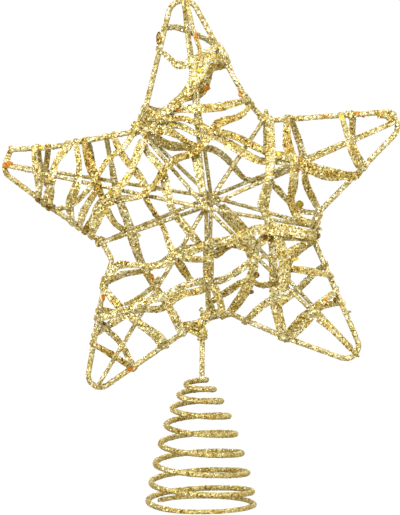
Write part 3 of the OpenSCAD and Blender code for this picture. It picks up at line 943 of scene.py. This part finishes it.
def vine_strip(line, breadths, side, level, tone, warm, chance):
    """One strip that swells and twists as it goes, hooked where its ends meet the outline."""
    first, body, last, ways, broadness = with_hooks(line, breadths, side, level)
    known = [at_star(p) for p in first + body + last]
    path = even([at_star(p) for p in first + smooth(body, 4) + last], strip_step * mm)
    path = calmed(path, 2, Vector())
    seed = Vector([chance.uniform(0, 99) for _ in range(3)])
    halves, thick, faces, at = [], [], [], 0
    for k, p in enumerate(path):
        while at < len(known) - 2 and (known[at + 1] - p).length < (known[at] - p).length:
            at += 1
        ahead = (path[min(len(path) - 1, k + 1)] - path[max(0, k - 1)]).normalized()
        twist = twist_most * noise.noise(p * twist_scale + seed * 2)
        faces.append(Matrix.Rotation(twist, 3, ahead) @ ways[at].normalized())
        halves.append(broadness[at] / 2 * (1 + breadth_drift * noise.noise(p * breadth_scale + seed)))
        thick.append(strip_t / 2 * (1 + thick_share * noise.noise(p * thin_scale + seed)) * mm)
    halves = [half * mm for half in calmed(halves, 3, 0)]
    for k in (0, 1, -2, -1):
        halves[k] *= end_share
    return shaded(crust(sweep(path, faces, halves, thick, 14, square=0.7), chance, share=0.45), tone, warm)


def breadth_along(points):
    """How broad a strip is, in millimetres, at each point of its line."""
    wide = [breadth_gain * p[2] * pixel / mm for p in points]
    between = []
    for a, b in zip(wide, wide[1:]):
        between += [a + (b - a) * k / point_steps for k in range(point_steps)]
    return between + [wide[-1]]


print("a 6 pixel strip is", round(breadth_along([(0, 0, 6)])[0], 2), "mm broad")

# %% [markdown]
# ## Extra turns and stubs
#
# Here and there a loose end of vine goes a few more times about the outline, and some ends are cut
# off short and stand out. Both are read from the photograph: where they are, how long and how broad.

# %% Turns about the outline, and stubs
# Turns stand off the outline by a share of their breadth, waver, and thin out towards both ends
turn_points, turn_lift, turn_thick, turn_ends = 20, 0.2, 0.5, 0.6
turn_waver, waver_scale, stub_taper = 0.1, 300, 0.55


def wrap(x, y, length, turns, wide, tone, chance):
    """A few turns of vine about the outline, over a length of it that is centred at a pixel."""
    spot = placed((x, y))
    n, last = len(rim_path), turns * turn_points
    middle = min(range(n), key=lambda i: (rim_path[i] - at_star((spot.x, 0, spot.y))).length)
    reach, half = rim_r * mm + turn_lift * wide * pixel, length / 2 * pixel / (rim_step * mm)
    phase, path, outs, halves = chance.uniform(0, 6), [], [], []
    for k in range(last + 1):
        at = middle - half + 2 * half * k / last
        i = math.floor(at)
        centre = rim_path[i % n].lerp(rim_path[(i + 1) % n], at - i)
        along = (rim_path[(i + 3) % n] - rim_path[(i - 3) % n]).normalized()
        a = phase + 2 * math.pi * k / turn_points
        outs.append(along.cross(Vector((0, 1, 0))) * math.cos(a) + Vector((0, 1, 0)) * math.sin(a))
        path.append(centre + outs[-1] * reach * (1 + turn_waver * noise.noise(centre * waver_scale)))
        halves.append(wide / 2 * pixel * (turn_ends + (1 - turn_ends) * math.sin(math.pi * k / last)))
    bm = sweep(path, outs, halves, [h * turn_thick for h in halves], 9, square=0.8)
    return shaded(crust(bm, chance), tone)


def spur(x0, y0, x1, y1, wide, tone, chance):
    """A stub that stands out from the outline."""
    a, b = placed((x0, y0)), placed((x1, y1))
    path = even([at_star((a.x, 0, a.y)), at_star((b.x, 0, b.y))], wire_step * mm)
    last = len(path) - 1
    halves = [wide / 2 * pixel * (1 - stub_taper * (k / last) ** 2) for k in range(last + 1)]
    bm = sweep(path, [Vector((0, 1, 0))] * len(path), halves, halves, 9)
    return shaded(crust(bm, chance), tone)


# Turns about the outline: a pixel, the length covered, turns, breadth (both in pixels), and tone
wraps = {
    "front_vine_top": [(221, 55, 20, 3, 7, -0.04), (246, 100, 10, 2, 4, 0.05)],
    "front_vine_centre": [(137, 128, 12, 3, 6, 0.0), (264, 120, 9, 2, 5, 0.05)],
    "front_vine_left": [(47, 206.5, 12, 2, 4.5, 0.25), (99, 243, 7, 2, 5, 0.12)],
    "front_vine_lower_left": [(104, 287, 5, 1, 4, 0.05)],
    "front_vine_lower_right": [(284, 337, 10, 2, 5, 0.05), (316, 235, 10, 2, 6, 0.15)],
    "front_vine_right": [(315, 221, 8, 2, 5, 0.0), (350, 114, 9, 2, 4, 0.05), (389, 115, 10, 2, 5, 0.0)]}
# Stubs: from a pixel to a pixel, breadth and tone
spurs = {
    "front_vine_left": [(12, 152, 10, 145.5, 6, 0.0)],
    "front_vine_right": [(266, 120, 266, 109.5, 6, 0.1)],
    "front_vine_lower_right": [(345, 312, 351.5, 311.5, 3, 0.1), (354, 352, 359.5, 357, 3.5, 0.15)]}
print("turns in", sum(map(len, wraps.values())), "places and", sum(map(len, spurs.values())), "stubs")

# %% [markdown]
# ## All strips
#
# The strips of one arm and side make one piece, as in the construction. The back ones are seen through
# the star, out of the light, so their base colour is painted lighter, browner and more even to offset
# the shade that they lie in.

# %% A piece for each arm and side
back_painted_warmth, back_tone_share, back_painted_lift = 0.2, 0.5, 0.08
for node in dict.fromkeys(strip[0] for strip in all_strips):
    chance = random.Random(sum(map(ord, node.replace("_vine_", ""))))
    parts = []
    for name, side, tone, points, line, level in all_strips:
        if name == node:
            warm = 0.0
            # Painted light: the back strips' colour is made lighter and browner to offset their shade
            if side > 0:
                tone, warm = tone * back_tone_share - back_painted_lift, back_painted_warmth
            parts.append(vine_strip(line, breadth_along(points), side, level, tone, warm, chance))
    parts += [wrap(*turn, chance) for turn in wraps.get(node, [])]
    parts += [spur(*stub, chance) for stub in spurs.get(node, [])]
    dressed.append(finished("wound_" + node, parts, vine_glitter, "star", [node]))

# %% [markdown]
# ## The binding
#
# The post is tied under the outline with a few turns of vine, a helix about the post's line. At its
# head more vine crosses the outline: two short leaves, two strands and two loops hide where the wires
# meet. They are laid over the star one by one, each from a few pixels with a depth.

# %% Turns about the post and vine over its head
down = (post_elbow - post_head).normalized()
across = Vector((down.z, 0, -down.x)).normalized()
front = down.cross(across)
tie_d, tie_turns, tie_points = 1.2, 3, 48
tie_start, tie_pitch = 6 * rim_r * mm, (tie_d + 3 * lay_gap) * mm
tie_path = []
for k in range(tie_turns * tie_points + 1):
    a = 2 * math.pi * k / tie_points
    tie_path.append(post_head + down * (tie_start + tie_pitch * k / tie_points)
                    + (across * math.cos(a) + front * math.sin(a)) * (post_r + lay_gap + tie_d / 2) * mm)
tie_path = even(tie_path, wire_step * mm)
tied = [shaded(crust(even_tube(tie_path, down, tie_d / 2, 9), chance, grain=0.16), 0.08)]


def laid(points, tone, thick=strip_t, loop=False):
    """A short leaf or strand in front of the star. Each point is a pixel, its depth and its breadth."""
    flat = [placed(p[:2], p[2]) for p in points]
    line = [Vector((f.x, p[2], f.y)) for f, p in zip(flat, points)]
    line = smooth(line, 6) if not loop else line
    path = even([at_star(p) for p in line], wire_step * mm, loop=loop)
    wide = [p[3] for p in points] + [points[-1][3]]
    halves = []
    for k in range(len(path)):
        at = k / len(path) * (len(points) - 1)
        i = int(at)
        halves.append((wide[i] + (wide[i + 1] - wide[i]) * (at - i)) / 2 * pixel)
    outs, depths = [Vector((0, -1, 0.15))] * len(path), [thick / 2 * mm] * len(path)
    bm = sweep(path, outs, halves, depths, 12, square=0.8, loop=loop)
    return shaded(crust(bm, chance, share=0.45), tone)


def ring_px(x, y, radius, depth, wide):
    """Twelve points round a pixel, for a loop that lies at one depth."""
    return [(x + radius * math.cos(a), y + radius * math.sin(a), depth, wide)
            for a in (math.pi * k / 6 for k in range(12))]


tied += [laid([(181.5, 324.5, -2.4, 4), (190, 326.5, -3.2, 10), (197, 328, -4.4, 15),
               (202.5, 329, -4.7, 17), (206, 329.5, -4.7, 13)], 0.02),
         laid([(225, 314, -2.4, 3), (217, 313, -3, 7), (209, 314, -4.4, 9), (203, 318, -4.9, 6)], 0.04),
         laid([(200, 309, -2, 4), (203, 312, -4.6, 5), (201.5, 319, -5.4, 5), (197, 325, -5.6, 5),
               (187, 327.5, -3.6, 4)], 0.0),
         laid([(214, 305, -2, 3), (210, 311, -4.6, 5), (206, 320, -5, 5)], 0.06),
         laid(ring_px(196, 326, 3.2, -5.9, 2.4), 0.1, thick=1.0, loop=True),
         laid(ring_px(211, 309, 3, -4.6, 2.4), 0.25, thick=1.0, loop=True)]
dressed.append(finished("wound_post_binding", tied, vine_glitter, "star", ["post_binding"]))

# %% [markdown]
# ## What the camera sees
#
# Side shoots, lumps of glitter and coloured chips are read from the photograph as a pixel with a size,
# which doesn't tell their depth. A ray from the camera through that pixel finds what carries them.
# Where the ray passes between two wires, rings of rays about it find the nearest thing, and what
# hangs there is moved beside it.

# %% What lies at a pixel
whole = bmesh.new()
for piece in dressed:
    whole.from_mesh(piece.data)
skin = BVHTree.FromBMesh(whole)
print("the dressed star has", len(whole.faces), "faces to hit")
whole.free()
chance = random.Random(5)
search_rings, ring_step = 14, 0.5


def ray(u, v):
    """What the camera's ray through a pixel meets first, if anything, and the way that it goes."""
    flat = star_centre + camera_right * (u - centre_px[0]) * pixel + camera_up * (centre_px[1] - v) * pixel
    way = (flat - camera.location).normalized()
    return skin.ray_cast(camera.location, way)[0], way


def seen_at(x, y, reach=0.0):
    """Where a thing of some reach, in pixels, lies against the star at a pixel of the photograph. If
    the ray passes by, the nearest rays that meet the star give its depth and pull it beside them."""
    for ring in range(search_rings):
        far, rays = ring * ring_step, max(1, 3 * ring)
        for k in range(rays):
            a = 2 * math.pi * k / rays
            u, v = x + far * math.cos(a), y + far * math.sin(a)
            found, way = ray(u, v)
            if found:
                back = min(far, reach)
                _, way = ray(u - back * math.cos(a), v - back * math.sin(a))
                return camera.location + way * (found - camera.location).length


def leaning(place, wide, high, deep, lean):
    """Turns a unit shape to face the camera, roughly, at a place and at a size in pixels and mm."""
    turn = Matrix((camera_right, camera_up, camera_back)).transposed().to_4x4()
    tip = Matrix.Rotation(chance.uniform(-lean, lean), 4, "X")
    tip = tip @ Matrix.Rotation(chance.uniform(-lean, lean), 4, "Y")
    size = Matrix.Diagonal((wide * pixel / 2, high * pixel / 2, deep * mm, 1))
    return Matrix.Translation(place) @ turn @ tip @ size


# %% [markdown]
# ## Side shoots and knots
#
# A vine's side shoots are left on it and cross from one strip or rib to the next. Only their two ends
# are found with rays, and the depth between them changes evenly, so that a shoot never jumps between
# the front and the back of the star. Knots are lumps of glue and glitter, modelled as small rough balls.

# %% Shoots and knots
# Shoots: the pixels that they pass, then breadth in pixels and tone
shoots = [((228, 244), (239, 247), (246, 250), (249, 258), 6, 0.05),
          ((284, 255), (297, 247), (311, 240), 8, 0.04),
          ((255, 258), (267, 256.5), (279.5, 257), 4, 0.05),
          ((159.7, 278), (150, 289), (138, 298), (125, 304.5), 6, 0.04),
          ((146, 186), (155, 187.5), (165, 188), 4, 0.1), ((319, 269), (323, 267), (326, 265), 3, 0.1),
          ((160, 173), (157, 179), (155, 184), 4, 0.1),
          ((207, 60), (204, 70), (200, 80), (192.5, 89), 8, 0.0),
          ((171, 130), (178, 136), (186, 141.5), (195, 145), (202, 147), 5, 0.14),
          ((377, 115), (385, 116), (391, 122), 8, 0.0),
          ((318, 318), (330, 328), (342, 340), (351, 350), 7.5, 0.08)]
# Knots: a pixel, breadth and height in pixels, and tone
knots = [(40, 177, 6, 8, 0.0), (49, 180, 10, 9, 0.12), (46, 196, 6, 6, -0.1), (37.8, 199.4, 5, 5, 0.4),
         (48, 206.5, 5, 5, 0.4), (98.5, 243.5, 6, 7, 0.15), (154.4, 214.8, 4, 4, 0.45),
         (104, 323.8, 5, 3.5, 0.5), (317.6, 235.8, 6, 6, 0.35), (334.8, 299, 3.5, 5, 0.4),
         (256.5, 275, 6, 6, 0.35), (284, 337, 8, 6, 0.05), (320, 230, 5, 7, -0.1),
         (159, 38.5, 5.5, 14, 0.3), (134, 126, 6, 11, -0.02), (166, 118, 8, 6, 0.1),
         (150, 112, 8, 6, 0.15), (159, 133, 8, 6, 0.1)]
knot_rough, knot_lean = 0.1, 0.3
shoot_front, shoot_depth, shoot_taper = 0.4, 0.5, 0.4
lumps = []
for *way, wide, tone in shoots:
    ends = [seen_at(*way[0]).y / mm, seen_at(*way[-1]).y / mm]
    print("shoot", way[0], "ends at depths", [round(d, 1) for d in ends])
    spots = []
    for k, p in enumerate(way):
        depth = ends[0] + (ends[1] - ends[0]) * k / (len(way) - 1)
        flat = placed(p, depth)
        spots.append(at_star((flat.x, depth, flat.y)) + camera_back * shoot_front * mm)
    path = even(smooth(spots, 6), wire_step * mm)
    halves = [wide / 2 * pixel * (1 - shoot_taper * k / len(path)) for k in range(len(path))]
    bm = sweep(path, [camera_back] * len(path), halves, [shoot_depth * mm] * len(path), 9, square=0.8)
    lumps.append(shaded(crust(bm, chance), tone))
for x, y, wide, high, tone in knots:
    least = min(wide, high)
    ball = bmesh.new()
    stand = leaning(seen_at(x, y, least / 2 - 1), wide, high, least * pixel / mm / 2, knot_lean)
    bmesh.ops.create_icosphere(ball, subdivisions=3, radius=1, matrix=stand)
    for v in ball.verts:
        v.co += Vector([chance.gauss(0, 1) for _ in range(3)]) * knot_rough * mm
    lumps.append(shaded(ball, tone))
finished("vine_knots", lumps, vine_glitter, "star", [])

# %% [markdown]
# ## Loose sequins
#
# A few larger chips of coloured plastic are caught in the glue. Each is a low seven-sided cone with
# uneven corners, a quarter of a millimetre thick, that faces the camera with a random lean. Their
# plastic is plain but for a dusting of finer glitter.

# %% Loose sequins
# A pixel, then breadth and height in pixels
chips = {
    "orange": [(8.5, 165, 12, 8), (196, 37, 5, 8), (207, 88, 7, 6), (240.5, 94, 5, 8), (178, 109.5, 9, 4),
        (357, 113, 7, 3), (103, 298, 5, 8), (130, 368, 8, 7), (226, 200, 7, 4), (151.5, 276, 5, 6),
        (206, 211, 5, 4), (325, 116.5, 6, 3), (326, 299, 6, 4)],
    "yellow": [(199, 71, 5, 6), (172, 124.5, 7, 3), (277, 154, 8, 5), (341.5, 118, 6, 5),
        (126, 176.5, 4, 3), (42, 148, 8, 3), (295, 259, 8, 5)],
    "olive": [(135.5, 125.5, 5, 8), (111, 192, 6, 5), (105.5, 211, 7, 5), (300, 204, 8.5, 8)],
    "pale": [(228, 147, 8, 7), (284, 298.5, 7, 6), (138, 235, 6, 5)],
    "brown": [(150, 133, 5, 5), (100, 179, 6, 4), (257, 275, 6, 6), (251, 292, 6, 5), (210, 275, 6, 4),
        (290.5, 264, 3, 9), (265, 238, 8, 4)],
    "red": [(298, 171, 4, 4), (364.5, 118.5, 4, 2.5), (46.5, 184, 5, 6)]}
chip_colours = {"orange": (164, 97, 4), "yellow": (208, 180, 28), "olive": (148, 130, 20),
                "pale": (224, 208, 136), "brown": (98, 62, 2), "red": (140, 60, 34)}
chip_thick, chip_lean, chip_uneven, chip_overhang = 0.25, 0.35, 0.25, 1.3
sequin_dust, dark_share, pale_share = 2600.0, 0.72, 0.3


def sequin(name, colour):
    """Thin coloured plastic under a dusting of glitter: most of it plain, some specks darker or paler."""
    finish = Finish(name, Specular_IOR_Level=0.25)
    own = finish.channel(finish.cells(finish.places(), sequin_dust), "Red")
    darker = linear(*[v * dark_share for v in colour])
    paler = linear(*[v + (255 - v) * pale_share for v in colour])
    stops = [(0, darker), (0.14, linear(*colour)), (0.84, paler)]
    finish.feed("Base Color", finish.colours(stops, own))
    finish.feed("Roughness", 0.4 + own * 0.2)
    return finish.material


for word, listed in chips.items():
    shapes = []
    for x, y, wide, high in listed:
        chip = bmesh.new()
        place = seen_at(x, y, min(wide, high) / 2 - chip_overhang) + camera_back * chip_thick * mm
        bmesh.ops.create_cone(chip, cap_ends=True, segments=7, radius1=1, radius2=0.8, depth=1,
                              matrix=leaning(place, wide, high, chip_thick, chip_lean))
        for v in chip.verts:
            right, up = [chance.uniform(-chip_uneven, chip_uneven) for _ in range(2)]
            v.co += camera_right * right * mm + camera_up * up * mm
        shapes.append(chip)
    finished("sequins_" + word, shapes, sequin("sequin_" + word, chip_colours[word]), "star", [])
